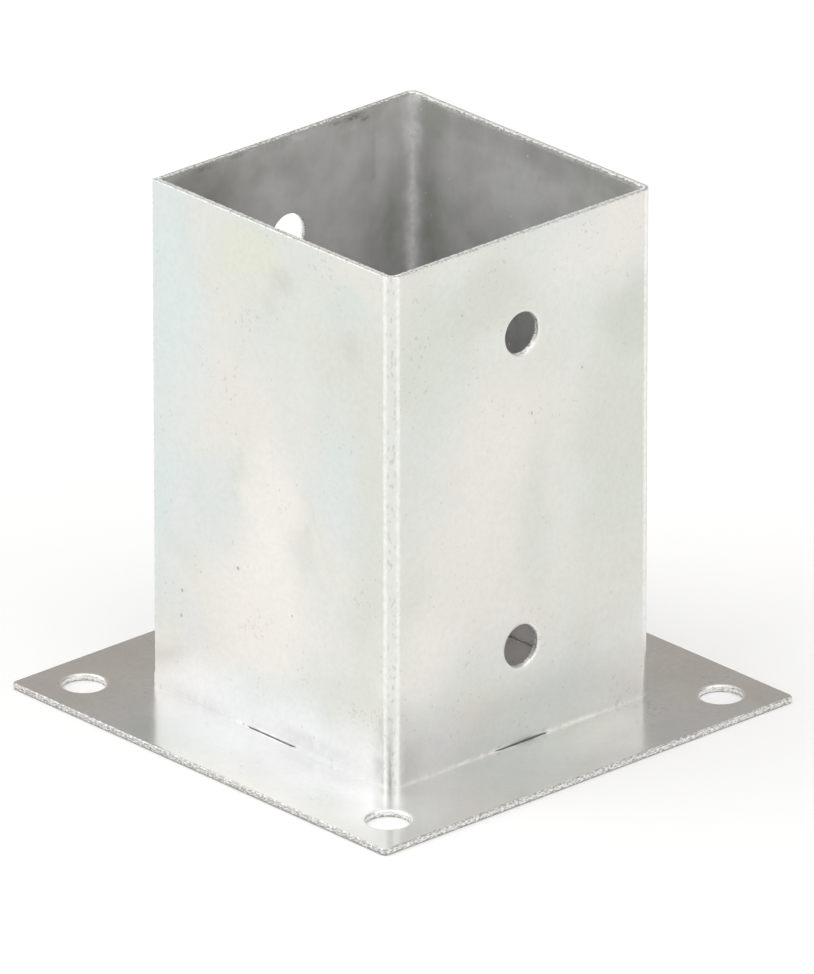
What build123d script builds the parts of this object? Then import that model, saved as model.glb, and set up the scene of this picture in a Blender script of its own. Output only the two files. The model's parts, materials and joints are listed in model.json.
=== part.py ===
from build123d import *
import os

# Timber post base: a square sleeve folded from steel sheet, standing on a flat bolt-down plate.
# The ground is at Z = 0, the sleeve's axis is Z, and the wall holes face along X.
# All sizes are in millimetres.

# The sleeve and its sheet
sheet = 2.0  # thickness of the folded strip
inside_width = 91.0  # clear width of the mouth, for a 90 mm post
overall_height = 150.0  # ground to rim
bend_inner_radius = 1.0  # inside radius of the three folds
seam_gap = 0.4  # root gap between the strip's two ends
rim_rounding = 0.3  # zinc-softened edges of the rim

# The base plate
plate_side = 150.0
plate_thickness = 2.0
plate_corner_radius = 1.5
plate_rollover = 0.4  # rounding that the shear leaves on the upper edge

# Holes for anchors in the plate, and for bolts or coach screws in the walls
anchor_hole_diameter = 12.0
anchor_hole_inset = 14.0  # hole centre to the plate's edge
wall_hole_diameter = 12.0
lower_hole_height = 30.0  # ground to the lower hole's centre
upper_hole_drop = 29.0  # rim to the upper hole's centre
punch_rollover = 0.5  # rounding that the punch leaves on the side it enters

# Tabs at the middle of each wall's foot, and the round-ended slots that they stand in
tab_length = 17.5
tab_depth = 1.2  # how far a tab reaches down into its slot
slot_end_clearance = 0.7  # at each end of a tab, so that its corners clear the slot's round ends
slot_side_clearance = 0.4  # on each face of a tab

# Weld metal
weld_recess = 0.2  # the tab welds stay this far above the ground
seam_bead_width = 3.2
seam_bead_height = 0.5
seam_bead_stop = 1.0  # from each end of the seam to the end of its bead

# Places that follow from the sizes above
outside_width = inside_width + 2 * sheet
outside = outside_width / 2
inside = inside_width / 2
wall_middle = inside + sheet / 2
bend_outer_radius = bend_inner_radius + sheet
foot_height = plate_thickness
sleeve_height = overall_height - foot_height
tab_bottom = foot_height - tab_depth
upper_hole_height = overall_height - upper_hole_drop
anchor_spacing = plate_side - 2 * anchor_hole_inset
slot_length = tab_length + 2 * slot_end_clearance
slot_width = sheet + 2 * slot_side_clearance
seam_edge = -inside + seam_gap  # where the back wall's end stops, along Y

# One place and direction for each wall's foot, in order round the sleeve
foot_places = PolarLocations(wall_middle, 4)

# Sleeve: one strip, folded three times. It starts at the seam corner (-X, -Y), goes round by
# the +X side and comes back along the -X side, where its end butts against the first wall.
with BuildPart() as sleeve:
    with BuildSketch(Plane.XY.offset(foot_height)):
        with BuildLine():
            faces_of_strip = [
                FilletPolyline(
                    (-outside, -reach),
                    (reach, -reach),
                    (reach, reach),
                    (-reach, reach),
                    (-reach, seam_edge),
                    radius=fold_radius,
                )
                for reach, fold_radius in ((outside, bend_outer_radius), (inside, bend_inner_radius))
            ]
            for end in (0, 1):
                Line(faces_of_strip[0] @ end, faces_of_strip[1] @ end)
        make_face()
    extrude(amount=sleeve_height)
    fillet(sleeve.edges().group_by(Axis.Z)[-1], radius=rim_rounding)

    # A tab at the middle of each foot
    with BuildSketch(Plane.XY.offset(foot_height)):
        with foot_places:
            Rectangle(sheet, tab_length)
    extrude(amount=-tab_depth)

    # Bolt holes through the two walls that face along X, punched from outside
    with BuildSketch(Plane.YZ):
        with Locations((0, lower_hole_height), (0, upper_hole_height)):
            Circle(wall_hole_diameter / 2)
    extrude(amount=outside_width, both=True, mode=Mode.SUBTRACT)
    hole_rims = sleeve.edges().filter_by(GeomType.CIRCLE).filter_by(
        lambda edge: abs(edge.radius - wall_hole_diameter / 2) < 0.01
        and abs(abs(edge.arc_center.X) - outside) < 0.01
    )
    fillet(hole_rims, radius=punch_rollover)
sleeve.part.label = "sleeve"

# Base plate: sheared and punched sheet, with a slot for each tab and a hole near each corner
with BuildPart() as base_plate:
    with BuildSketch():
        RectangleRounded(plate_side, plate_side, radius=plate_corner_radius)
        with GridLocations(anchor_spacing, anchor_spacing, 2, 2):
            Circle(anchor_hole_diameter / 2, mode=Mode.SUBTRACT)
        with foot_places:
            SlotOverall(slot_length, slot_width, rotation=90, mode=Mode.SUBTRACT)
    extrude(amount=plate_thickness)
    upper_edges = base_plate.faces().sort_by(Axis.Z)[-1].outer_wire().edges()
    fillet(upper_edges, radius=plate_rollover)
    hole_edges = base_plate.edges().filter_by(GeomType.CIRCLE).filter_by(
        lambda edge: abs(edge.radius - anchor_hole_diameter / 2) < 0.01
        and abs(edge.arc_center.Z - plate_thickness) < 0.01
    )
    fillet(hole_edges, radius=punch_rollover)
base_plate.part.label = "base_plate"

# Tab welds: weld metal that fills each slot from below, up to the tab's end
with BuildPart() as tab_welds:
    with BuildSketch(Plane.XY.offset(weld_recess)):
        with foot_places:
            SlotOverall(slot_length, slot_width, rotation=90)
    extrude(amount=tab_bottom - weld_recess)
tab_welds.part.label = "tab_welds"

# Seam weld: it fills the gap between the strip's ends and stands as a low bead on the -X side
seam_middle = -inside + seam_gap / 2
with BuildPart() as seam_weld:
    with BuildSketch(Plane.XY.offset(foot_height + seam_bead_stop)):
        with Locations((-wall_middle, seam_middle)):
            Rectangle(sheet, seam_gap)
        with BuildLine():
            ThreePointArc(
                (-outside, seam_middle - seam_bead_width / 2),
                (-outside - seam_bead_height, seam_middle),
                (-outside, seam_middle + seam_bead_width / 2),
            )
            Line(
                (-outside, seam_middle + seam_bead_width / 2),
                (-outside, seam_middle - seam_bead_width / 2),
            )
        make_face()
    extrude(amount=sleeve_height - 2 * seam_bead_stop)
seam_weld.part.label = "seam_weld"

os.makedirs("parts", exist_ok=True)
export_step(sleeve.part, "parts/sleeve.step")
export_step(base_plate.part, "parts/base_plate.step")
export_step(tab_welds.part, "parts/tab_welds.step")
export_step(seam_weld.part, "parts/seam_weld.step")
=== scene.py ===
import json
from math import ceil, cos, exp, pi, radians, sin, tan

import bmesh
import bpy
import numpy as np
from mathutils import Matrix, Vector, kdtree, noise
from mathutils.geometry import delaunay_2d_cdt


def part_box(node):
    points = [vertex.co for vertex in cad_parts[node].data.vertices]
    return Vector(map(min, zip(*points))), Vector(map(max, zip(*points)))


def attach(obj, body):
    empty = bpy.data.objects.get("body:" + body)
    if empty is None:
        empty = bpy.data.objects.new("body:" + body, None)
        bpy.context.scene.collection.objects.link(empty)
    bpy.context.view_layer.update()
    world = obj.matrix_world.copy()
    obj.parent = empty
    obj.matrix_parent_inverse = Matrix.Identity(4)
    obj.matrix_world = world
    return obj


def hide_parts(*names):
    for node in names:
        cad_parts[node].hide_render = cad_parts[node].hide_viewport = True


# A timber post base in bright zinc-plated sheet: a folded sleeve on a flat plate.
# Shapes are worked out in millimetres in the frame of the CAD model, and turned to metres at the end.

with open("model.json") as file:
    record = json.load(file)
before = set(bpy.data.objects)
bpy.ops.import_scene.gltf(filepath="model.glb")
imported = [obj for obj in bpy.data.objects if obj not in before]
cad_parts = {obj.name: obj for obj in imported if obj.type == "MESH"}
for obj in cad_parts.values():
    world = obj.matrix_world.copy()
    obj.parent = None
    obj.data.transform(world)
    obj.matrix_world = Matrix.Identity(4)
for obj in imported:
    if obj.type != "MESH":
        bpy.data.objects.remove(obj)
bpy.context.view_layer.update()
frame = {"record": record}

MM = 0.001


# Sizes from the frame, in millimetres

def node_box(node):
    """The lowest and highest corners of a CAD node, in millimetres."""
    low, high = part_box(node)
    return low / MM, high / MM


mounts = {mount["name"]: mount for mount in frame["record"]["mounts"]}
plate_low, plate_high = node_box("base_plate")
sleeve_low, sleeve_high = node_box("sleeve")
weld_low, weld_high = node_box("tab_welds")
seam_low, seam_high = node_box("seam_weld")

sheet = plate_high.z - plate_low.z  # sleeve and plate are of the same thickness
foot = plate_high.z
rim = sleeve_high.z
tab_bottom = sleeve_low.z
outside = sleeve_high.x
inside = outside - sheet
wall_middle = outside - sheet / 2
plate_reach = plate_high.x
anchor_reach = mounts["anchor_holes"]["dims"]["spacing_x_mm"] / 2
anchor_radius = mounts["anchor_holes"]["dims"]["hole_r_mm"]
bolt_radius = mounts["post_bolt_lower"]["dims"]["r_mm"]
bolt_heights = [mounts[name]["pos_m"][2] / MM for name in ("post_bolt_lower", "post_bolt_upper")]

# Sizes that the frame doesn't state, as in the CAD model
bend_inner_radius = 1.0
bend_radius = 2.0  # at the middle of the sheet
plate_corner = 1.5
tab_half = 8.75
slot_half_length = 9.45
slot_half_width = 1.4
seam_gap = 0.4

# How finely the meshes are made, and how much room their points leave each other
face_step = 2.4  # between points inside a face
rim_step = 0.5  # along the strip's outline
plate_step = 0.6  # along the plate's outline
slot_step = 0.4  # along a slot's outline, and inside its weld fill
fold_step = 0.35  # in a fold
hole_points = 72
point_room = 0.8  # from a face's own points to its edges
room_share = 0.75  # of the way that an edge section can reach in before it meets another


# Outlines: closed lines with the material on their left, as lists of points

def turned(x, y, angle):
    """A flat place, turned around (0, 0)."""
    return x * cos(angle) - y * sin(angle), x * sin(angle) + y * cos(angle)


def rounded(corners, step):
    """The outline through corners of (x, y, radius), sampled about every step."""
    points = []
    count = len(corners)
    for i, (x, y, radius) in enumerate(corners):
        here = Vector((x, y))
        before = Vector(corners[i - 1][:2])
        after = Vector(corners[(i + 1) % count][:2])
        way_in, way_out = (here - before).normalized(), (after - here).normalized()
        turn = way_in.angle_signed(way_out)  # clockwise is positive
        reach = radius * tan(abs(turn) / 2)
        start = here - way_in * reach
        if points:
            run_from = Vector(points[-1])
            pieces = max(1, round((start - run_from).length / step))
            points += [run_from.lerp(start, k / pieces) for k in range(1, pieces)]
        side = 1 if turn < 0 else -1
        middle = start + Vector((-way_in.y, way_in.x)) * radius * side
        steps = max(3, ceil(radius * abs(turn) / step))
        first = start - middle
        for k in range(steps + 1):
            points.append(middle + Vector(turned(*first, -turn * k / steps)))
    run_from, start = points[-1], points[0]
    pieces = max(1, round((start - run_from).length / step))
    points += [run_from.lerp(start, k / pieces) for k in range(1, pieces)]
    return [p for k, p in enumerate(points) if (p - points[k - 1]).length > 1e-4]


def round_hole(x, y, radius):
    """A circle that goes clockwise, so that the material is on its left."""
    angles = [-2 * pi * k / hole_points for k in range(hole_points)]
    return [Vector((x + radius * cos(angle), y + radius * sin(angle))) for angle in angles]


def box_corners(x, y, half_x, half_y, radius, clockwise=False):
    corners = [(x - half_x, y - half_y, radius), (x + half_x, y - half_y, radius),
               (x + half_x, y + half_y, radius), (x - half_x, y + half_y, radius)]
    return corners[::-1] if clockwise else corners


def outward_normals(points):
    """One normal for each point, away from the material."""
    normals = []
    for i, here in enumerate(points):
        along = (points[(i + 1) % len(points)] - points[i - 1]).normalized()
        normals.append(Vector((along.y, -along.x)))
    return normals


def room_inward(points, normals):
    """How far each point can move into the material before it meets the rest of the outline."""
    spots = np.array([tuple(p) for p in points])
    away = np.array([tuple(n) for n in normals])
    room = []
    for spot, normal in zip(spots, away):
        gap = spot - spots
        facing = gap @ normal
        ahead = facing > 1e-6
        reach = (gap[ahead] ** 2).sum(axis=1) / (2 * facing[ahead])
        room.append(room_share * reach.min() if len(reach) else 1e6)
    return room


# Edge sections: rings of (inset, height, roughness, cut, torn), from the upper face round to the
# lower one. The inset from the outline and the roughness are in millimetres, and the height is 1 at
# the upper face and -1 at the lower. Cut is 1 where the section of the sheet shows; on a face it
# is a painted highlight. Torn runs from -1, where that is bright and burnished, to 3, where it is
# dark and crumbly, and it also paints light and shade along some edges.

# Its rings on the upper face beside the edge are partly cut: a painted highlight along the lip. The
# most torn ring, on the lower face, is painted shade along the edge's underside.
sheared_edge = [
    (1.10, 1.00, 0.00, 0.0, 0.0),
    (0.55, 1.00, 0.01, 0.0, 0.0),
    (0.38, 0.98, 0.03, 0.6, 0.3),
    (0.17, 0.88, 0.05, 0.8, 0.3),
    (0.03, 0.66, 0.05, 1.0, 0.6),
    (0.00, 0.35, 0.05, 1.0, 0.1),
    (0.06, 0.05, 0.09, 1.0, 0.1),
    (0.08, -0.40, 0.08, 1.0, 0.3),
    (0.08, -0.78, 0.04, 1.0, 1.2),
    (0.20, -1.00, 0.02, 1.0, 3.0),
    (0.40, -1.00, 0.00, 0.3, 1.0),
    (1.10, -1.00, 0.00, 0.0, 0.0),
]
# Its outer rings on the upper face are partly cut and bright: a painted highlight round the hole's
# lip
punched_edge = [
    (1.60, 1.00, 0.00, 0.0, 0.0),
    (0.90, 0.99, 0.00, 0.1, -1.0),
    (0.52, 0.93, 0.01, 0.5, -1.0),
    (0.27, 0.82, 0.01, 0.6, -0.8),
    (0.10, 0.66, 0.01, 0.8, -0.6),
    (0.01, 0.42, 0.01, 1.0, -0.5),
    (0.02, 0.05, 0.02, 1.0, -0.5),
    (0.08, -0.40, 0.04, 1.0, -0.1),
    (0.12, -0.90, 0.05, 1.0, 1.0),
    (0.24, -1.00, 0.02, 0.6, 1.0),
    (0.40, -1.00, 0.00, 0.0, 0.5),
    (1.60, -1.00, 0.00, 0.0, 0.0),
]
rim_edge = [
    (1.10, 1.00, 0.00, 0.0, 0.0),
    (0.50, 1.00, 0.00, 0.0, 0.0),
    (0.30, 0.99, 0.02, 0.3, 0.4),
    (0.12, 0.93, 0.03, 0.7, 0.3),
    (0.03, 0.78, 0.03, 0.8, 0.2),
    (0.00, 0.45, 0.04, 0.8, 0.1),
    (0.01, 0.05, 0.05, 0.9, -0.3),
    (0.03, -0.40, 0.08, 0.9, 0.2),
    (0.10, -0.78, 0.10, 1.0, 1.0),
    (0.22, -0.95, 0.12, 1.0, 2.2),
    (0.36, -1.02, 0.08, 0.5, 1.4),
    (1.40, -1.00, 0.00, 0.0, 0.6),
]
foot_edge = [
    (1.10, 1.00, 0.00, 0.0, 0.0),
    (0.50, 1.00, 0.00, 0.0, 0.0),
    (0.26, 1.01, 0.01, 0.0, 0.0),
    (0.15, 1.03, 0.02, 0.0, 0.0),
    (0.07, 1.07, 0.02, 0.0, 0.0),
    (0.02, 1.12, 0.02, 0.0, 0.0),
    (0.00, 1.15, 0.02, 0.0, 0.0),
    (0.00, 0.80, 0.00, 0.0, 0.0),
    (0.00, 0.00, 0.00, 0.0, 0.0),
    (0.00, -0.90, 0.00, 0.0, 0.0),
    (0.15, -1.00, 0.00, 0.0, 0.0),
    (1.10, -1.00, 0.00, 0.0, 0.0),
]
tab_edge = [
    (0.50, 1.00, 0.00, 0.0, 0.0),
    (0.20, 1.00, 0.00, 0.0, 0.0),
    (0.10, 0.99, 0.01, 0.2, 0.0),
    (0.04, 0.96, 0.01, 0.6, 0.3),
    (0.01, 0.88, 0.01, 1.0, 0.6),
    (0.00, 0.50, 0.02, 1.0, 0.9),
    (0.00, 0.00, 0.02, 1.0, 0.9),
    (0.00, -0.50, 0.02, 1.0, 0.9),
    (0.01, -0.88, 0.02, 1.0, 0.9),
    (0.04, -0.96, 0.01, 0.6, 0.6),
    (0.20, -1.00, 0.00, 0.2, 0.3),
    (0.50, -1.00, 0.00, 0.0, 0.0),
]


def blend(first, second, share):
    """An edge section between two others."""
    return [
        tuple(a + (b - a) * share for a, b in zip(ring, other))
        for ring, other in zip(first, second)
    ]


def retorn(section, change):
    """An edge section that is torn more, or less, by the same change all over; more paints shade,
    less paints light.
    """
    return [(*ring[:4], ring[4] + change) for ring in section]


def ragged(x, y, height, size, seed):
    """A repeatable offset of about plus or minus size, that changes over half a millimetre."""
    spot = Vector((x * 1.7 + seed, y * 1.7, height * 0.8))
    return size * (noise.noise(spot) + 0.5 * noise.noise(spot * 2.7))


def enclosed(loops, spots):
    """Which of the spots are in the material that the loops bound."""
    within = np.zeros(len(spots), bool)
    for loop in loops:
        ring = np.array([tuple(point) for point in loop])
        for a, b in zip(ring, np.roll(ring, -1, axis=0)):
            if a[1] == b[1]:
                continue
            crosses = (a[1] > spots[:, 1]) != (b[1] > spots[:, 1])
            x = a[0] + (spots[:, 1] - a[1]) * (b[0] - a[0]) / (b[1] - a[1])
            within ^= crosses & (spots[:, 0] < x)
    return within


def fill(loops, inner_points):
    """Triangles between closed loops of flat points, with more points inside."""
    flat = [point for loop in loops for point in loop] + inner_points
    edges, first = [], 0
    for loop in loops:
        edges += [(first + k, first + (k + 1) % len(loop)) for k in range(len(loop))]
        first += len(loop)
    _, _, faces, source, _, _ = delaunay_2d_cdt(flat, edges, [], 0, 1e-7)
    index = [origins[0] for origins in source]
    triangles = np.array([[index[v] for v in face] for face in faces])
    spots = np.array([tuple(point) for point in flat])
    a, b, c = (spots[triangles[:, k]] for k in range(3))
    winding = (b[:, 0] - a[:, 0]) * (c[:, 1] - a[:, 1]) - (b[:, 1] - a[:, 1]) * (c[:, 0] - a[:, 0])
    triangles[winding < 0] = triangles[winding < 0][:, ::-1]
    return triangles[enclosed(loops, (a + b + c) / 3) & (np.abs(winding) > 1e-9)].tolist()


def sheet_part(name, loops, columns, rows, place, seed, half=1.0):
    """A sheet-metal part: outlines with their edge sections, filled on both faces, then placed.

    loops holds (outline, function that gives the edge section at a point). columns and rows are
    where the faces get their own points. place turns (along, up, height above mid-sheet) into a
    place in the frame.
    """
    points, cuts, torns, faces = [], [], [], []
    upper_loops, lower_loops, upper_index, lower_index = [], [], [], []
    for outline, section_at in loops:
        normals = outward_normals(outline)
        room = room_inward(outline, normals)
        sections = [section_at(point) for point in outline]
        count, rings = len(outline), len(sections[0])
        first = len(points)
        for ring in range(rings):
            for point, normal, limit, section in zip(outline, normals, room, sections):
                inset, height, rough, cut, torn = section[ring]
                shift = ragged(point.x, point.y, height, rough, seed)
                spot = point - normal * min(max(inset + shift, 0.0), limit)
                lift = 0.4 * ragged(point.y, point.x, height, rough, seed + 40)
                points.append((spot.x, spot.y, (height + lift) * half))
                cuts.append(cut)
                torns.append(torn)
        for ring in range(rings - 1):
            for k in range(count):
                a, b = first + ring * count + k, first + ring * count + (k + 1) % count
                faces.append((a, a + count, b + count, b))
        last = first + (rings - 1) * count
        upper_loops.append([Vector(p[:2]) for p in points[first:first + count]])
        lower_loops.append([Vector(p[:2]) for p in points[last:last + count]])
        upper_index += range(first, first + count)
        lower_index += range(last, last + count)

    near = kdtree.KDTree(sum(len(loop) for loop in upper_loops))
    for k, point in enumerate(point for loop in upper_loops for point in loop):
        near.insert((point.x, point.y, 0), k)
    near.balance()
    grid = [(x, y) for x in columns for y in rows if near.find((x, y, 0))[2] > point_room]
    kept = enclosed(upper_loops, np.array(grid))
    grid = [Vector(spot) for spot, keep in zip(grid, kept) if keep]

    for loops_here, index, height in ((upper_loops, upper_index, half),
                                      (lower_loops, lower_index, -half)):
        index = index + list(range(len(points), len(points) + len(grid)))
        points += [(p.x, p.y, height) for p in grid]
        cuts += [0.0] * len(grid)
        torns += [0.0] * len(grid)
        for triangle in fill(loops_here, grid):
            corners = [index[v] for v in triangle]
            faces.append(corners if height > 0 else corners[::-1])
    sides = [max(-1.0, min(1.0, p[2] / half)) for p in points]
    spots = [place(*p) for p in points]
    return make_mesh(name, spots, faces, cut=cuts, torn=torns, side=sides), points


def make_mesh(name, points, faces, **attributes):
    """A smooth-shaded object from points in millimetres.

    Each attribute holds one number for each point.
    """
    mesh = bpy.data.meshes.new(name)
    mesh.from_pydata([tuple(c * MM for c in point) for point in points], [], faces)
    mesh.shade_smooth()
    piece = bpy.data.objects.new(name, mesh)
    bpy.context.scene.collection.objects.link(piece)
    for key, values in attributes.items():
        add_attribute(piece, key, values)
    return piece


def add_attribute(piece, key, values):
    layer = piece.data.attributes.new(key, "FLOAT", "POINT")
    layer.data.foreach_set("value", np.array(values, np.float32))


def spread(low, high, step):
    """Evenly spaced places from low to high."""
    pieces = max(1, round((high - low) / step))
    return [low + (high - low) * k / pieces for k in range(pieces + 1)]


# The sleeve: one strip with tabs and holes, folded at three corners

straight_first = inside - bend_inner_radius + outside  # from the seam to the first fold
straight = 2 * (inside - bend_inner_radius)
fold_length = bend_radius * pi / 2
straight_last = straight + bend_inner_radius - seam_gap
fold_starts = [straight_first + k * (straight + fold_length) for k in range(3)]
strip_length = fold_starts[2] + fold_length + straight_last
wall_starts = [0.0] + [start + fold_length for start in fold_starts]
wall_centres = [outside] + [start + straight / 2 for start in wall_starts[1:]]
fold_reach = inside - bend_inner_radius  # from the axis to each fold's centre


def wall_and_way(along):
    """Where a place along the strip lies: (x, y) at mid-sheet and the outward direction there."""
    for k in (3, 2, 1, 0):
        if along >= wall_starts[k]:
            break
    turn = radians(90) * k
    past_fold = along - (fold_starts[k] if k < 3 else strip_length + 1)
    if past_fold > 0:
        angle = turn - pi / 2 + past_fold / bend_radius
        middle = Vector((fold_reach, -fold_reach))
        out = Vector((cos(angle), sin(angle)))
        return Vector(turned(*middle, turn)) + out * bend_radius, out
    start = -outside if k == 0 else -fold_reach
    flat = Vector((start + along - wall_starts[k], -wall_middle))
    return Vector(turned(*flat, turn)), Vector(turned(0.0, -1.0, turn))


wave_height = 0.10
wave_length = 38  # along the strip
wave_rise = 46  # from one wave to the next up the wall
settle_height = 25  # above the foot, where the waves have their full height
settle_length = 8  # from either end of the strip, likewise
crease_height = 0.03
crease_width = 0.5
crease_place = 1.26  # from a fold's centre line to the crease on either side


def hand_flatness(along, up):
    """How far the sheet lies out of true at a place on the strip."""
    from_ends = min(along, strip_length - along)
    settle = min(1.0, max(0.0, (up - foot) / settle_height)) * min(1.0, from_ends / settle_length)
    spot = Vector((along / wave_length, up / wave_rise, 3.1))
    wave = wave_height * settle * (noise.noise(spot) + 0.4 * noise.noise(spot * 2.3))
    away = abs(fold_distance(along)) - crease_place
    return wave + crease_height * exp(-((away / crease_width) ** 2))


def fold_distance(along):
    """How far along the strip the nearest fold's centre line is."""
    return min((along - start - fold_length / 2 for start in fold_starts), key=abs)


slot_end_covered = 0.42  # at each end of a slot, which is narrower there than the wall
slit_half_length = slot_half_length - slot_end_covered


def slot_distance(along):
    """How far a place on the strip is beyond the nearest slot's visible end."""
    return min(abs(along - centre) for centre in wall_centres) - slit_half_length


def sleeve_place(along, up, height):
    base, out = wall_and_way(min(max(along, 0.0), strip_length))
    beyond = along - min(max(along, 0.0), strip_length)
    spot = base + out * (height + hand_flatness(along, up)) + Vector((-out.y, out.x)) * beyond
    return spot.x, spot.y, min(up, rim)


# Painted light on three walls' rims and painted shade on the fourth, through how torn they are
rims_lit_and_shaded_by_wall = [retorn(rim_edge, change) for change in (-0.4, -0.2, -0.5, 0.4)]
plain_foot_edge = [(inset, min(height, 1.0), *rest) for inset, height, *rest in foot_edge]


# Where the strip's edge sections change
foot_band = 4  # above the foot
rim_band = 0.3  # below the rim
end_band = 0.2  # from either end of the strip
tab_band = 0.05  # below the foot
slit_fade = 0.5  # beyond a slit

# Radii of the corners in the strip's outline
strip_corner = 0.1
tab_corner = 0.3


def strip_section(point):
    """The edge section of the strip: its rim, foot, tabs and two ends differ."""
    wall = sum(point.x >= start for start in wall_starts[1:])
    if point.y > foot + foot_band:
        from_ends = min(point.x, strip_length - point.x)
        at_end = from_ends < end_band and point.y < rim - rim_band
        return sheared_edge if at_end else rims_lit_and_shaded_by_wall[wall]
    if point.y < foot - tab_band:
        return tab_edge
    beyond = min(1.0, max(0.0, slot_distance(point.x) / slit_fade))
    return blend(tab_edge, plain_foot_edge if wall == 0 else foot_edge, beyond)


def strip_outline():
    corners = [(0.0, foot, strip_corner)]
    for centre in wall_centres:
        corners += [
            (centre - tab_half, foot, strip_corner),
            (centre - tab_half, tab_bottom, tab_corner),
            (centre + tab_half, tab_bottom, tab_corner),
            (centre + tab_half, foot, strip_corner),
        ]
    ends = ((strip_length, foot), (strip_length, rim), (0.0, rim))
    corners += [(x, y, strip_corner) for x, y in ends]
    return rounded(corners, rim_step)


def make_sleeve():
    edge_room = 1.6  # from the rim and foot to the first points inside a face
    fold_room = 1.2  # on each side of a fold, where the points are closer
    fold_room_step = 0.4
    holes = [round_hole(wall_centres[wall], height, bolt_radius)
             for wall in (1, 3) for height in bolt_heights]
    columns = []
    for wall, start in enumerate(wall_starts):
        end = fold_starts[wall] if wall < 3 else strip_length
        columns += spread(start, end, face_step)[1:-1]
        if wall < 3:
            columns += spread(end - fold_room, end, fold_room_step)[:-1]
            fold_end = end + fold_length
            columns += spread(end, fold_end, fold_step)
            columns += spread(fold_end, fold_end + fold_room, fold_room_step)[1:]
    rows = [foot, foot + 0.5, foot + 1.0]  # where the tabs join the walls
    rows += spread(foot + edge_room, rim - edge_room, face_step)
    loops = [(strip_outline(), strip_section)]
    loops += [(hole, lambda point: punched_edge) for hole in holes]
    piece, flat = sheet_part(
        "zinc_sleeve", loops, sorted(set(columns)), rows, sleeve_place, seed=5.0
    )
    add_attribute(piece, "fold", [min(10.0, abs(fold_distance(p[0]))) for p in flat])
    return piece


# The base plate

plate_wave = 0.06
plate_wave_length = 30
plate_still = 4  # around the sleeve, where the plate stays flat


def plate_place(x, y, height):
    clear = max(0.0, max(abs(x), abs(y)) - outside - plate_still) / (plate_reach - outside)
    spot = Vector((x / plate_wave_length, y / plate_wave_length, 8.2))
    wave = plate_wave * clear * noise.noise(spot)
    lift = wave if height > 0 else 0.0
    x, y = (max(-plate_reach, min(plate_reach, c)) for c in (x, y))
    return x, y, max(0.0, sheet / 2 + height + lift)


# Painted shade on the plate's side that faces -Y
torn_side = retorn(sheared_edge, 0.4)


def plate_section(point):
    """The edge section of the plate. The side that faces -Y is torn more, which paints shade on it.
    """
    return torn_side if point.y < -plate_reach + 1 else sheared_edge


def make_plate():
    outer = rounded(box_corners(0, 0, plate_reach, plate_reach, plate_corner), plate_step)
    holes = [round_hole(x, y, anchor_radius)
             for x in (-anchor_reach, anchor_reach) for y in (-anchor_reach, anchor_reach)]
    slots = []
    for quarter in range(4):
        along_x = quarter % 2 == 1
        reach = wall_middle if quarter in (0, 1) else -wall_middle
        x, y = (0, reach) if along_x else (reach, 0)
        half = (slot_half_length, slot_half_width) if along_x else (slot_half_width, slot_half_length)
        corners = box_corners(x, y, *half, slot_half_width, clockwise=True)
        slots.append(rounded(corners, slot_step))
    edge_room = 1.8  # from the plate's side to the first points inside its faces
    lines = spread(-plate_reach + edge_room, plate_reach - edge_room, face_step)
    loops = [(outer, plate_section)]
    loops += [(hole, lambda point: punched_edge) for hole in holes]
    loops += [(slot, lambda point: tab_edge) for slot in slots]
    return sheet_part("zinc_base_plate", loops, lines, lines, plate_place, seed=21.0)[0]


# Weld metal

def make_tab_welds():
    """Four rippled fills in the slots, seen from below."""
    middle = (weld_low.z + weld_high.z) / 2
    half = (weld_high.z - weld_low.z) / 2
    section = [(0.45, 1.0, 0, 0.3, 0), (0.02, 1.0, 0, 0.3, 0), (0.0, 0.9, 0, 0.3, 0),
               (0.0, -0.3, 0, 0.3, 0), (0.10, -0.75, 0.02, 0.3, 0), (0.45, -0.95, 0.05, 0.3, 0)]
    pieces = []
    for quarter in range(4):
        turn = quarter * pi / 2

        def place(along, across, height, turn=turn):
            ripple = 0.0
            if height < 0:
                ripple = 0.07 * sin(along * 2 * pi / 1.3 + 0.25 * across * across)
                ripple += 0.1 * noise.noise(Vector((along / 2, across / 2, turn)))
                ripple -= 0.14 * (1 - (across / slot_half_width) ** 2)
            z = max(middle + height + ripple + 0.14 * (height < 0), weld_low.z)
            return (*turned(along, across - wall_middle, turn), z)

        corners = box_corners(0, 0, slot_half_length, slot_half_width, slot_half_width)
        loops = [(rounded(corners, slot_step), lambda point: section)]
        columns, rows = spread(-9, 9, slot_step), spread(-1.2, 1.2, slot_step)
        piece, _ = sheet_part("tab_weld", loops, columns, rows, place, seed=31.0 + quarter, half=half)
        pieces.append(piece)
    return join(pieces, "tab_weld_fills")


def join(pieces, name):
    with bpy.context.temp_override(active_object=pieces[0], selected_editable_objects=pieces,
                                   selected_objects=pieces, object=pieces[0]):
        bpy.ops.object.join()
    pieces[0].name = name
    pieces[0].data.name = name
    return pieces[0]


bead_ripple = 1.35  # from one ripple of the bead to the next
bead_ripple_depth = 0.28  # as a share of the bead's height
bead_wander = 0.12
bead_step = 0.3  # from one ring of points to the next
bead_taper = 1.6  # from each end of the bead to its full size
bead_lag = 0.8  # how much further up a ripple is in the middle than at its sides


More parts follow.
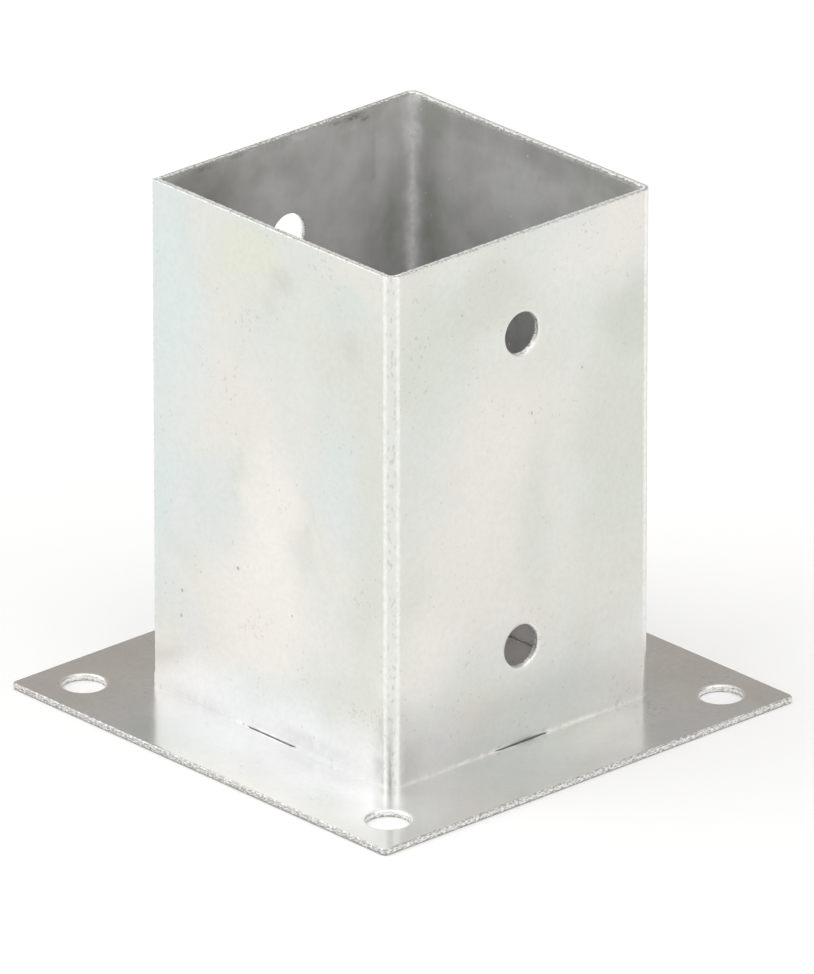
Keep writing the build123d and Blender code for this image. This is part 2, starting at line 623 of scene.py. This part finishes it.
def make_seam_bead():
    """A hand-laid bead up the seam, with its root in the gap between the strip's ends."""
    seam_y = -inside + seam_gap / 2
    half_width = (seam_high.y - seam_low.y) / 2
    crown = -outside - seam_low.x
    points, faces = [], []
    heights = spread(seam_low.z, seam_high.z, bead_step)
    arc_steps = 14
    for row, z in enumerate(heights):
        end = min(z - seam_low.z, seam_high.z - z)
        taper = min(1.0, (end + 0.12) / bead_taper) ** 0.5
        wander = bead_wander * noise.noise(Vector((z / 9, 4.4, 0)))
        width = half_width * taper * (0.93 + 0.07 * noise.noise(Vector((z / 3, 1.7, 2))))
        ring = []
        for k in range(arc_steps + 1):
            side = -1 + 2 * k / arc_steps
            scale = 1 - side * side
            lag = z - bead_lag * scale
            ripple = bead_ripple_depth * (0.5 + 0.5 * cos(2 * pi * lag / bead_ripple)) ** 2
            proud = crown * taper * scale * (1 - ripple - 0.06 * noise.noise(Vector((z, side, 3))))
            ring.append((-outside - max(0.0, proud), seam_y + wander * taper + side * width, z))
        root = seam_gap / 2
        ring += [(-outside + 0.1, seam_y + root, z), (-inside - 0.05, seam_y + root, z),
                 (-inside - 0.05, seam_y - root, z), (-outside + 0.1, seam_y - root, z)]
        points += ring
        count = len(ring)
        if row:
            base = (row - 1) * count
            for k in range(count):
                a, b = base + k, base + (k + 1) % count
                faces.append((a, a + count, b + count, b))
    faces.append(list(range(count)))
    faces.append(list(range(len(points) - 1, len(points) - count - 1, -1)))
    return make_mesh("seam_bead", points, faces, cut=[0.3] * len(points), torn=[0.2] * len(points))


def droplet(size, squash, seed):
    """A lumpy ball around (0, 0, 0), squashed along Y and Z: its points and faces."""
    rings, around = 5, 8
    arms = [Vector((0, 0, 1))]
    for ring in range(1, rings):
        slope = ring / rings * pi
        for step in range(around):
            angle = 2 * pi * step / around
            arms.append(Vector((sin(slope) * cos(angle), sin(slope) * sin(angle), cos(slope))))
    arms.append(Vector((0, 0, -1)))
    points = []
    for arm in arms:
        lump = size * (1 + 0.3 * noise.noise(arm * 1.4 + Vector((seed, 0, 0))))
        points.append(Vector((arm.x, arm.y * squash, arm.z * squash)) * lump)
    faces = []
    last = len(arms) - 1
    for step in range(around):
        here, following = 1 + step, 1 + (step + 1) % around
        faces.append((0, here, following))
        for ring in range(rings - 2):
            a, b = here + ring * around, following + ring * around
            faces.append((a, a + around, b + around, b))
        shift = (rings - 2) * around
        faces.append((here + shift, last, following + shift))
    return points, faces


spatter_drops = 150
spatter_length = 20  # along each slot
spatter_on_walls = 0.6  # share that lies on the walls, and not on the plate
spatter_size = 0.14  # smallest radius
spatter_spread = 0.24
spatter_start = 0.3  # nearest to the corner between wall and plate
spatter_reach = 1.3  # and on from there


def make_spatter():
    """Droplets of weld metal that came up through the slots, on the walls' feet inside the sleeve."""
    points, faces = [], []
    for k in range(spatter_drops):
        chance = [noise.cell(Vector((k * 1.37, row * 5.1, 0.5))) for row in range(5)]
        turn = k % 4 * pi / 2
        along = (chance[0] - 0.5) * spatter_length
        on_wall = chance[4] < spatter_on_walls
        if on_wall:
            across = inside - 0.03
            height = foot + spatter_start + spatter_reach * chance[3] ** 2
        else:
            across = inside - spatter_start - spatter_reach * chance[1] ** 2
            height = foot + 0.02
        size = spatter_size + spatter_spread * chance[2] ** 2
        drop_points, drop_faces = droplet(size, 0.8, k)
        first = len(points)
        for point in drop_points:
            z = max(point.z + height, foot - 0.02)
            points.append((*turned(point.x + along, point.y - across, turn), z))
        faces += [[first + v for v in face] for face in drop_faces]
    return make_mesh("weld_spatter", points, faces, cut=[0.9] * len(points),
                     torn=[-1.0] * len(points))


# Materials

class Nodes:
    """Short ways to add shader nodes to one tree. Values that aren't sockets are set on the input."""

    def __init__(self, tree):
        self.tree = tree

    def add(self, kind, inputs=None, **settings):
        node = self.tree.nodes.new(kind)
        for key, value in settings.items():
            setattr(node, key, value)
        for key, value in (inputs or {}).items():
            self.put(node.inputs[key], value)
        return node

    def put(self, socket, value):
        if isinstance(value, bpy.types.NodeSocket):
            self.tree.links.new(value, socket)
        elif isinstance(value, tuple) and socket.type == "RGBA":
            socket.default_value = (*value, 1.0)
        else:
            socket.default_value = value

    def math(self, operation, a, b=0.0):
        return self.add("ShaderNodeMath", {0: a, 1: b}, operation=operation).outputs[0]

    def mix(self, factor, a, b, blend="MIX"):
        node = self.add("ShaderNodeMix", data_type="RGBA", blend_type=blend)
        for k, value in ((0, factor), (6, a), (7, b)):
            self.put(node.inputs[k], value)
        return node.outputs[2]

    def remap(self, value, low, high, to_low=0.0, to_high=1.0):
        inputs = {"Value": value, "From Min": low, "From Max": high,
                  "To Min": to_low, "To Max": to_high}
        node = self.add("ShaderNodeMapRange", inputs, interpolation_type="SMOOTHSTEP")
        return node.outputs[0]

    def place(self, scale=(1, 1, 1), shift=(0, 0, 0)):
        """The place on the object in millimetres, multiplied by scale and then shifted."""
        here = self.add("ShaderNodeTexCoord").outputs["Object"]
        inputs = {"Vector": here, "Scale": tuple(s / MM for s in scale), "Location": shift}
        return self.add("ShaderNodeMapping", inputs).outputs[0]

    def noise(self, size, detail=2.0, roughness=0.5, scale=(1, 1, 1), shift=(0, 0, 0)):
        """Noise with features of about size millimetres."""
        inputs = {"Vector": self.place(scale, shift), "Scale": 1 / size,
                  "Detail": detail, "Roughness": roughness}
        return self.add("ShaderNodeTexNoise", inputs).outputs[0]

    def attribute(self, name):
        return self.add("ShaderNodeAttribute", attribute_name=name).outputs["Fac"]


def wash(nodes, here, centre, reach, strength):
    """A soft patch of strength around a place in millimetres. It ends at reach along each axis."""
    away = nodes.add("ShaderNodeVectorMath", {0: here, 1: centre}, operation="SUBTRACT").outputs[0]
    away = nodes.add("ShaderNodeVectorMath", {0: away, 1: reach}, operation="DIVIDE").outputs[0]
    away = nodes.add("ShaderNodeVectorMath", {0: away}, operation="LENGTH").outputs["Value"]
    return nodes.remap(away, 1.0, 0.2, 0.0, strength)


def soft_noise(spots, size, shift):
    """Noise around 0.5 at each place, with features of about size millimetres."""
    values = []
    for spot in spots:
        place = Vector(spot) / size + Vector(shift)
        values.append(0.5 + 0.36 * noise.noise(place) + 0.16 * noise.noise(place * 2.1))
    return np.array(values)


drift_size = 14  # of the noise that moves washes from their places
drift_reach = 14


def paint(piece, washes=(), inner_washes=(), lines=(), inner_lines=()):
    """Store the soft colour patterns at the mesh's points: plating tints, and painted light and
    shade.

    "tint" holds the colour of the patches that a point lies in, and in its alpha how far they cover
    it. Washes wander a little from their places. Lines stay in theirs, but are broken up.
    """
    count = len(piece.data.vertices)
    spots = np.zeros(count * 3)
    piece.data.vertices.foreach_get("co", spots)
    spots = spots.reshape(count, 3) / MM
    for key, size, shift in (("clouds", 34, (3, 7, 1)), ("patches", 20, (40, 2, 9)),
                             ("cluster", 15, (11, 5, 70))):
        add_attribute(piece, key, soft_noise(spots, size, shift))
    drift = [soft_noise(spots, drift_size, (0, 0, 50 * k)) - 0.5 for k in range(3)]
    moved = spots + drift_reach * np.stack(drift, axis=1)
    sides = np.ones(count)
    if "side" in piece.data.attributes:
        piece.data.attributes["side"].data.foreach_get("value", sides)
    tint, cover = np.zeros((count, 3)), np.zeros((count, 1))
    broken = np.clip(3.2 * soft_noise(spots, 1.3, (9, 9, 9)) - 0.75, 0.25, 1.0)
    for patches, places, face in ((washes, moved, sides > 0), (inner_washes, moved, sides <= 0),
                                  (lines, spots, broken * (sides > 0)),
                                  (inner_lines, spots, broken * (sides <= 0))):
        for centre, reach, color, strength in patches:
            away = np.linalg.norm((places - centre) / reach, axis=1)
            near = np.clip((1.0 - away) / 0.8, 0.0, 1.0)
            share = (strength * face * near * near * (3 - 2 * near))[:, None]
            tint = tint * (1 - share) + np.array(color) * share
            cover = cover * (1 - share) + share
    layer = piece.data.attributes.new("tint", "FLOAT_COLOR", "POINT")
    rgba = np.hstack([tint / np.maximum(cover, 1e-6), cover])
    layer.data.foreach_set("color", rgba.astype(np.float32).ravel())


# Colours of the plating and of its wear, and of painted highlights, sheen and shade
cool_cloud = (0.715, 0.765, 0.76)
warm_cloud = (0.80, 0.775, 0.73)
yellow_patch = (0.705, 0.715, 0.65)
speck_color = (0.40, 0.40, 0.37)
# Painted highlight along the creases of each fold
fold_highlight_color = (0.96, 0.96, 0.945)
# Painted sheen over the middle of each fold
fold_sheen_color = (0.80, 0.82, 0.79)
scuff_color = (0.50, 0.50, 0.46)
inner_dull = (0.64, 0.64, 0.63)
inner_pale = (0.69, 0.69, 0.695)
# Painted highlight down the inside of each fold
inner_fold_highlight = (0.94, 0.94, 0.94)
inner_speck = (0.98, 0.98, 0.98)
torn_color = (0.30, 0.29, 0.27)
cut_bright = (0.95, 0.95, 0.93)


def zinc(name, base, roughness, metallic, variety=1.0, marks=(), inner_marks=(), folded=False):
    """Bright zinc plating: faint clouds of colour, specks, cut edges, scuffed folds with painted
    highlights.
    """
    material = bpy.data.materials.new(name)
    material.use_nodes = True
    shader = material.node_tree.nodes["Principled BSDF"]
    n = Nodes(material.node_tree)

    clouds, patches, cluster = (n.attribute(key) for key in ("clouds", "patches", "cluster"))
    painted = n.add("ShaderNodeAttribute", attribute_name="tint").outputs
    fine = n.noise(1.5, 2.0, 0.6)
    crystals = n.noise(1.0, 2.0, 0.7, scale=(1, 1, 2.4))
    grain = n.noise(0.9, 1.0, 0.6, scale=(1, 1, 0.45), shift=(2, 2, 5))
    cut, torn = n.attribute("cut"), n.attribute("torn")

    # Clouds of colour, then the patches that have a place of their own
    color = n.mix(n.remap(clouds, 0.36, 0.66), cool_cloud, warm_cloud)
    color = n.mix(n.remap(patches, 0.5, 0.72, 0.0, 0.55), color, yellow_patch)
    color = n.mix(1 - 0.6 * variety, color, base)
    color = n.mix(painted["Alpha"], color, painted["Color"])
    for centre, reach, tint, strength in marks:
        color = n.mix(wash(n, n.place(), centre, reach, strength), color, tint)

    # Specks in loose clusters, and more of them along the folds
    cells = n.add("ShaderNodeTexVoronoi", {"Vector": n.place(scale=(1, 1, 0.8)), "Scale": 0.42})
    chance = n.add("ShaderNodeSeparateColor", {0: cells.outputs["Color"]}).outputs[0]
    wanted = n.remap(cluster, 0.45, 0.75, 0.03, 0.6)
    near_fold = None
    if folded:
        near_fold = n.attribute("fold")
        wanted = n.math("ADD", wanted, n.remap(near_fold, 7.0, 0.0, 0.0, 0.45))
    dot = n.remap(cells.outputs["Distance"], 0.17, 0.07)
    dot = n.math("MULTIPLY", dot, n.math("LESS_THAN", chance, wanted))
    dust = n.math("MULTIPLY", n.remap(fine, 0.56, 0.70), n.remap(cluster, 0.48, 0.75, 0.0, 0.35))
    blemish = n.math("MAXIMUM", n.math("MULTIPLY", dot, 0.4), dust)
    dapple = n.mix(n.remap(fine, 0.3, 0.7), (0.975, 0.975, 0.975), (1.02, 1.02, 1.02))
    color = n.mix(1.0, color, dapple, "MULTIPLY")
    color = n.mix(blemish, color, speck_color)
    rough = n.remap(patches, 0.35, 0.7, roughness, roughness + 0.07)
    metal = metallic

    if folded:
        # Painted highlights along the two creases beside each fold's centre line, and between them a
        # painted sheen with scuffs in it
        crease = n.math("ABSOLUTE", n.math("SUBTRACT", near_fold, crease_place))
        crease = n.math("ADD", crease, n.remap(grain, 0.3, 0.7, -0.12, 0.12))
        outer = n.remap(n.attribute("side"), -0.2, 0.2)
        fold_highlight = n.math("MULTIPLY", n.remap(crease, 0.75, 0.1), outer)
        color = n.mix(n.math("MULTIPLY", fold_highlight, n.remap(fine, 0.25, 0.6, 0.3, 0.7)),
                      color, fold_highlight_color)
        fold_sheen_and_scuffs = n.math("MULTIPLY", n.remap(near_fold, 1.0, 0.5), outer)
        color = n.mix(n.math("MULTIPLY", fold_sheen_and_scuffs, 0.5), color, fold_sheen_color)
        scuffs = n.remap(grain, 0.56, 0.68, 0.0, 0.45)
        color = n.mix(n.math("MULTIPLY", fold_sheen_and_scuffs, scuffs), color, scuff_color)

        # The inner faces are duller, with a painted highlight down each fold: a pale, grainy streak
        within = n.math("SUBTRACT", 1.0, outer)
        inner_color_and_painted_light = n.mix(n.remap(patches, 0.35, 0.65), inner_dull, inner_pale)
        # The inner washes: painted shade and light, and a moss tint
        inner_color_and_painted_light = n.mix(painted["Alpha"], inner_color_and_painted_light, painted["Color"])
        crumbly = n.remap(crystals, 0.40, 0.56)
        for centre, reach, tint, strength in inner_marks:
            mark = wash(n, n.place(), centre, reach, strength)
            inner_color_and_painted_light = n.mix(n.math("MULTIPLY", mark, crumbly), inner_color_and_painted_light, tint)
        scrubbed = n.remap(n.noise(9, 3.0, 0.6), 0.3, 0.7)
        inner_color_and_painted_light = n.mix(0.045, inner_color_and_painted_light, scrubbed, "LINEAR_LIGHT")
        inner_highlight = n.math("ADD", near_fold, n.remap(n.noise(6, 2.0, 0.6), 0.3, 0.7, -1.2, 1.0))
        inner_highlight = n.math("MULTIPLY", n.remap(inner_highlight, 5.0, 0.6), n.remap(fine, 0.3, 0.65, 0.55, 0.95))
        inner_color_and_painted_light = n.mix(inner_highlight, inner_color_and_painted_light, inner_fold_highlight)
        inner_color_and_painted_light = n.mix(n.math("MULTIPLY", dot, 0.6), inner_color_and_painted_light, inner_speck)
        color = n.mix(within, color, inner_color_and_painted_light)
        rough = n.math("ADD", rough, n.math("MULTIPLY", within, 0.24))
        dull = n.math("ADD", 0.4, n.math("MULTIPLY", inner_highlight, 0.46))
        metal = n.math("SUBTRACT", metallic, n.math("MULTIPLY", within, dull))

    # Cut edges: bright where burnished, dark and crumbly where torn. The same mix paints highlights
    # on lips and rims, and shade under edges
    shine = n.remap(n.math("SUBTRACT", crystals, n.math("MULTIPLY", torn, 0.12)), 0.32, 0.58)
    cut_color = n.mix(shine, torn_color, cut_bright)
    color = n.mix(n.math("MULTIPLY", cut, 0.85), color, cut_color)
    rough = n.math("ADD", rough, n.math("MULTIPLY", cut, 0.12))

    n.put(shader.inputs["Base Color"], color)
    n.put(shader.inputs["Roughness"], rough)
    n.put(shader.inputs["Metallic"], metal)
    height = n.math("ADD", n.math("MULTIPLY", fine, 0.12), n.noise(8, 0.0))
    rugged = n.math("MULTIPLY", n.math("MULTIPLY", crystals, cut), 1.6)
    if folded:
        rugged = n.math("ADD", rugged, n.math("MULTIPLY", n.math("MULTIPLY", grain, fold_highlight), 0.25))
    height = n.math("ADD", height, rugged)
    bump = n.add("ShaderNodeBump", {"Strength": 1.0, "Distance": 0.03 * MM, "Height": height})
    n.put(shader.inputs["Normal"], bump.outputs[0])
    return material


def merge_doubles(piece):
    """Join points that lie in one place, where a sharp corner has no room for its edge section."""
    mesh = bmesh.new()
    mesh.from_mesh(piece.data)
    bmesh.ops.remove_doubles(mesh, verts=mesh.verts, dist=1e-5 * MM)
    mesh.to_mesh(piece.data)
    mesh.free()


def dress(piece, material, slot, *nodes):
    piece.data.materials.clear()
    piece.data.materials.append(material)
    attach(piece, "root")
    if nodes:
        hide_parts(*nodes)


# Tints that lie in places of their own, and colours for painted highlights and shade
teal = (0.69, 0.785, 0.785)
lilac = (0.79, 0.78, 0.80)
olive = (0.68, 0.70, 0.625)
rose = (0.90, 0.86, 0.815)
clay = (0.85, 0.81, 0.765)
umber = (0.56, 0.545, 0.49)
pale = (0.82, 0.82, 0.825)
# Grey of the painted shade above the foot of a wall
foot_shade_grey = (0.64, 0.64, 0.64)
moss = (0.50, 0.505, 0.46)
white = (1.0, 1.0, 1.0)
soot = (0.25, 0.25, 0.23)


def on_left(x, z, wide, tall, tint, strength):
    """A patch on the wall that faces -Y."""
    return (x, -outside, z), (wide, 20.0, tall), tint, strength


def on_right(y, z, wide, tall, tint, strength):
    """A patch on the wall that faces +X."""
    return (outside, y, z), (20.0, wide, tall), tint, strength


def inner_left(y, z, wide, tall, tint, strength):
    """A patch inside, on the wall at -X."""
    return (-inside, y, z), (20.0, wide, tall), tint, strength


def inner_right(x, z, wide, tall, tint, strength):
    """A patch inside, on the wall at +Y."""
    return (x, inside, z), (wide, 20.0, tall), tint, strength


# Patches of (centre, reach along each axis, tint, strength). Washes are broad and soft, lines are
# narrow and broken up, and marks are small enough to be drawn by the material itself.

sleeve_washes = [
    on_left(10, 132, 70, 34, (0.72, 0.74, 0.68), 0.6),
    on_left(-44, 112, 27, 46, teal, 0.7),
    on_left(-45, 60, 18, 46, teal, 0.55),
    on_left(-36, 58, 9, 14, lilac, 0.5),
    on_left(-32, 24, 9, 10, lilac, 0.5),
    on_left(-8, 139, 18, 12, (0.745, 0.765, 0.645), 0.75),
    on_left(30, 112, 22, 40, olive, 0.6),
    on_left(28, 96, 14, 26, teal, 0.35),
    on_left(30, 137, 16, 12, (0.66, 0.74, 0.71), 0.6),
    on_left(-38, 138, 16, 16, teal, 0.6),
    on_left(0, 66, 15, 34, rose, 0.75),
    on_left(-3, 36, 34, 30, rose, 0.75),
    on_left(40, 66, 14, 70, olive, 0.6),
    on_left(0, 4, 90, 17, pale, 0.95),
    on_right(0, 95, 80, 90, (0.75, 0.755, 0.705), 0.5),
    on_right(-36, 122, 24, 34, (0.67, 0.705, 0.64), 0.6),
    on_right(-16, 134, 26, 14, olive, 0.95),
    on_right(28, 137, 30, 18, clay, 0.5),
    on_right(-10, 92, 24, 22, clay, 0.5),
    on_right(-16, 58, 32, 42, clay, 0.6),
    on_right(6, 64, 9, 34, (0.69, 0.71, 0.66), 0.6),
    on_right(-36, 36, 20, 22, rose, 0.6),
    on_right(36, 84, 24, 56, olive, 0.9),
    on_right(40, 116, 16, 14, (0.62, 0.64, 0.57), 0.7),
    # Painted light on the right end of the wall's lower part
    on_right(44, 12, 34, 24, (0.88, 0.87, 0.85), 0.8),
    on_right(34, 38, 22, 22, (0.75, 0.735, 0.69), 0.6),
    on_right(-36, 8, 24, 16, (0.84, 0.84, 0.85), 0.7),
]
sleeve_lines = [
    on_left(4.4, 136, 8, 6, umber, 0.4),
    on_left(0, 128, 5, 6, umber, 0.3),
    on_left(31.3, 125.4, 8, 8, (0.64, 0.60, 0.56), 0.4),
    # Painted shade in bands just above the foot of the wall at -Y
    on_left(18, 4.8, 24, 3.6, foot_shade_grey, 0.6),
    on_left(-30, 3.2, 20, 2.6, foot_shade_grey, 0.45),
    on_left(44.5, 8, 5.5, 22, (0.56, 0.57, 0.53), 0.95),
    # Painted highlights along the wall's lower edge above its slit
    on_left(-13, foot + 0.2, 5, 0.5, white, 0.8),
    on_left(0, foot + 0.5, 9.5, 0.6, white, 1.0),
    # Painted highlight along the join of the wall at +X and the plate
    on_right(0, foot + 0.2, 80, 1.0, (0.98, 0.98, 0.96), 1.0),
    # Painted shade in the slit under the wall at +X
    on_right(0.8, foot, 9.5, 1.1, (0.22, 0.22, 0.20), 1.0),
    # Painted highlight on the front fold's crease near the foot
    ((outside, -outside + 2.6, 10), (3, 2.2, 18), white, 1.0),
    # Painted glint on the rim at the front corner
    ((outside - 1.6, -outside + 1.2, rim), (3.4, 2.2, 1.4), white, 1.0),
    ((outside - 0.4, -outside + 0.4, rim - 1.2), (1.0, 1.0, 0.6), soot, 0.8),
]
sleeve_marks = [
    on_left(-36, 33.5, 0.7, 0.8, soot, 0.6),
    on_left(-36.4, 26, 0.6, 0.9, soot, 0.6),
    on_left(-13.5, 47.2, 0.8, 0.8, soot, 0.7),
    on_left(8.1, 40.1, 0.5, 0.6, soot, 0.6),
    on_right(-22, 132.4, 0.5, 0.5, soot, 0.7),
    on_right(21.7, 105.1, 0.6, 0.6, soot, 0.6),
    on_right(3.4, 97, 0.45, 0.8, soot, 0.6),
]
# Inside, most washes are painted shade and light: darker at the top of the wall at -X and in the
# middle of the wall at +Y, lighter below and beside the corner. Others darken the walls near the
# mouth, and the moss wash is a tint of the plating.
sleeve_inner_washes = [
    inner_left(-31, 140, 24, 20, (0.36, 0.36, 0.34), 0.9),
    inner_left(15, 114, 18, 18, (0.80, 0.80, 0.81), 0.7),
    inner_left(40, 146, 7, 30, (0.92, 0.92, 0.92), 0.5),
    inner_left(-16, 144, 26, 10, (0.55, 0.55, 0.53), 0.6),
    inner_right(-38, 120, 9, 50, moss, 0.35),
    inner_right(-2, 92, 34, 34, (0.40, 0.40, 0.38), 0.7),
    inner_right(34, 146, 24, 20, (0.55, 0.555, 0.51), 0.7),
    inner_right(-40, 147, 12, 14, (0.45, 0.46, 0.42), 0.8),
    inner_right(0, 150, 70, 10, (0.45, 0.45, 0.44), 0.8),
    inner_right(0, 5, 45, 24, (0.90, 0.87, 0.84), 0.9),
]
sleeve_inner_marks = [
    inner_left(24, 149.0, 5.5, 1.9, (0.27, 0.26, 0.24), 0.95),
    inner_left(28, 147.2, 2.2, 1.3, (0.32, 0.31, 0.29), 0.8),
    inner_left(17, 148.8, 3.6, 1.2, (0.36, 0.35, 0.33), 0.8),
    inner_left(22, 145.6, 6, 1.6, (0.78, 0.77, 0.76), 0.6),
    inner_left(4, 148.2, 7, 1.6, (0.80, 0.79, 0.78), 0.7),
    inner_left(-30, 149, 6, 1.6, (0.24, 0.23, 0.21), 0.8),
    inner_left(-18, 149.2, 4, 1.2, (0.28, 0.27, 0.25), 0.7),
]
sleeve_inner_lines = [
    inner_left(-4, 149, 9, 1.4, (0.42, 0.41, 0.38), 0.4),
    inner_left(34, 133, 4, 22, (0.86, 0.86, 0.86), 0.5),
    inner_left(37, 112, 5, 20, moss, 0.7),
    inner_right(-38, 112, 5, 34, moss, 0.7),
]
plate_washes = [
    ((-66, -44, foot), (34, 60, 9), (0.79, 0.755, 0.715), 0.8),
    ((40, 68, foot), (60, 26, 9), (0.80, 0.77, 0.72), 0.8),
    ((-18, -66, foot), (26, 13, 9), (0.65, 0.72, 0.72), 0.5),
    ((54, -56, foot), (20, 18, 9), (0.92, 0.94, 0.96), 0.8),
    ((50, -52, foot), (7, 7, 9), white, 0.9),
    # Painted light on the plate in front of the wall at +X
    ((56, 18, foot), (18, 34, 9), (0.94, 0.94, 0.92), 0.9),
    ((10, 36, foot), (40, 14, 9), (1.0, 0.96, 0.92), 0.9),
    ((60, -34, foot), (15, 18, 9), (0.77, 0.78, 0.77), 0.45),
    ((57, 50, foot), (16, 12, 9), (0.87, 0.85, 0.83), 0.5),
    ((-66, -73, foot), (18, 15, 9), (0.755, 0.725, 0.69), 0.7),
    ((71, 74, foot), (14, 16, 9), (0.76, 0.735, 0.69), 0.7),
    ((10, -66, foot), (60, 14, 9), (0.77, 0.775, 0.77), 0.4),
]
plate_lines = [
    # Painted shade on the plate beside the slit under the wall at +X
    ((outside + 0.7, 1.5, foot), (1.6, 6.5, 4), (0.42, 0.42, 0.40), 0.7),
]

sleeve_zinc = zinc("sleeve_zinc", (0.755, 0.765, 0.73), 0.285, 0.86, marks=sleeve_marks,
                   inner_marks=sleeve_inner_marks, folded=True)
plate_zinc = zinc("plate_zinc", (0.825, 0.825, 0.835), 0.17, 0.9, variety=0.25)
weld_zinc = zinc("weld_zinc", (0.70, 0.71, 0.69), 0.3, 0.85, variety=0.3)

sleeve, plate = make_sleeve(), make_plate()
paint(sleeve, sleeve_washes, sleeve_inner_washes, sleeve_lines, sleeve_inner_lines)
paint(plate, plate_washes, lines=plate_lines)
merge_doubles(sleeve)
merge_doubles(plate)
dress(sleeve, sleeve_zinc, "zinc_coated_sheet", "sleeve")
dress(plate, plate_zinc, "zinc_coated_plate", "base_plate")
for weld, replaced in ((make_tab_welds(), ["tab_welds"]), (make_seam_bead(), ["seam_weld"]),
                       (make_spatter(), [])):
    paint(weld)
    dress(weld, weld_zinc, "weld_metal", *replaced)


# Studio

floor_drop = 0.02  # below the ground, so that the floor and the plate's underside don't meet


def make_floor():
    """A pale floor that keeps the object's shadow and shows as white, in metal too."""
    sides = 96
    radius = 30.0
    mesh = bpy.data.meshes.new("floor")
    angles = [2 * pi * k / sides for k in range(sides)]
    ring = [(radius * cos(angle), radius * sin(angle), 0) for angle in angles]
    mesh.from_pydata(ring, [], [list(range(sides))])
    floor = bpy.data.objects.new("floor", mesh)
    bpy.context.scene.collection.objects.link(floor)
    floor.location.z = -floor_drop * MM
    material = bpy.data.materials.new("pale_floor")
    material.use_nodes = True
    material.node_tree.nodes.clear()
    n = Nodes(material.node_tree)
    path = n.add("ShaderNodeLightPath").outputs
    seen = n.math("MAXIMUM", path["Is Camera Ray"], path["Is Glossy Ray"])
    seen = n.math("MAXIMUM", seen, path["Is Transmission Ray"])
    glow = n.add("ShaderNodeEmission", {"Strength": n.math("MULTIPLY", seen, 0.2)})
    matt = n.add("ShaderNodeBsdfDiffuse", {"Color": (0.76, 0.76, 0.76)})
    both = n.add("ShaderNodeAddShader", {0: matt.outputs[0], 1: glow.outputs[0]})
    n.add("ShaderNodeOutputMaterial", {"Surface": both.outputs[0]})
    mesh.materials.append(material)


def make_world():
    """A studio that is pale at the horizon, mid-grey above it and lighter overhead."""
    world = bpy.data.worlds.new("studio")
    bpy.context.scene.world = world
    world.use_nodes = True
    n = Nodes(world.node_tree)
    direction = n.add("ShaderNodeTexCoord").outputs["Generated"]
    height = n.add("ShaderNodeSeparateXYZ", {0: direction}).outputs["Z"]
    low = n.mix(n.remap(height, 0.0, 0.2), (0.8, 0.8, 0.8), (0.405, 0.388, 0.36))
    tint = n.mix(n.remap(height, 0.35, 1.0), low, (0.6, 0.6, 0.6))
    n.put(world.node_tree.nodes["Background"].inputs["Color"], tint)


def toward(azimuth, elevation):
    """The direction from the object to a camera or lamp.

    Azimuth 0 is on the -Y side, and 90 on the +X side.
    """
    a, e = radians(azimuth), radians(elevation)
    return Vector((sin(a) * cos(e), -cos(a) * cos(e), sin(e)))


def softbox(name, azimuth, elevation, width, strength, color):
    """A broad distant lamp, width degrees across."""
    lamp = bpy.data.lights.new(name, "SUN")
    lamp.angle = radians(width)
    lamp.energy = strength
    lamp.color = color
    holder = bpy.data.objects.new(name, lamp)
    bpy.context.scene.collection.objects.link(holder)
    holder.rotation_mode = "QUATERNION"
    holder.rotation_quaternion = toward(azimuth, elevation).to_track_quat("Z", "Y")


# The photograph's camera, with its distance and aim in metres
photo_azimuth, photo_elevation = 47.5, 23.31
camera_distance = 5.45
camera_lens = 747.8
aim_right, aim_height = 0.00125, 0.0614


def make_camera():
    back = toward(photo_azimuth, photo_elevation)
    right = Vector((0, 0, 1)).cross(back).normalized()
    camera = bpy.data.cameras.new("photo_camera")
    camera.sensor_width = 36.0
    camera.lens = camera_lens
    camera.clip_start, camera.clip_end = 0.1, 100.0
    holder = bpy.data.objects.new("photo_camera", camera)
    bpy.context.scene.collection.objects.link(holder)
    holder.location = right * aim_right + Vector((0, 0, aim_height)) + back * camera_distance
    holder.rotation_mode = "QUATERNION"
    holder.rotation_quaternion = back.to_track_quat("Z", "Y")
    bpy.context.scene.camera = holder


make_floor()
make_world()
softbox("left_softbox", photo_azimuth - 84, 34, 82, 1.45, (0.98, 0.99, 1.0))
softbox("right_softbox", photo_azimuth + 42, 42, 80, 1.05, (1.0, 0.99, 0.97))
softbox("top_softbox", photo_azimuth + 190, 80, 60, 0.4, (1.0, 1.0, 1.0))
make_camera()
bpy.context.scene.view_settings.view_transform = "Standard"
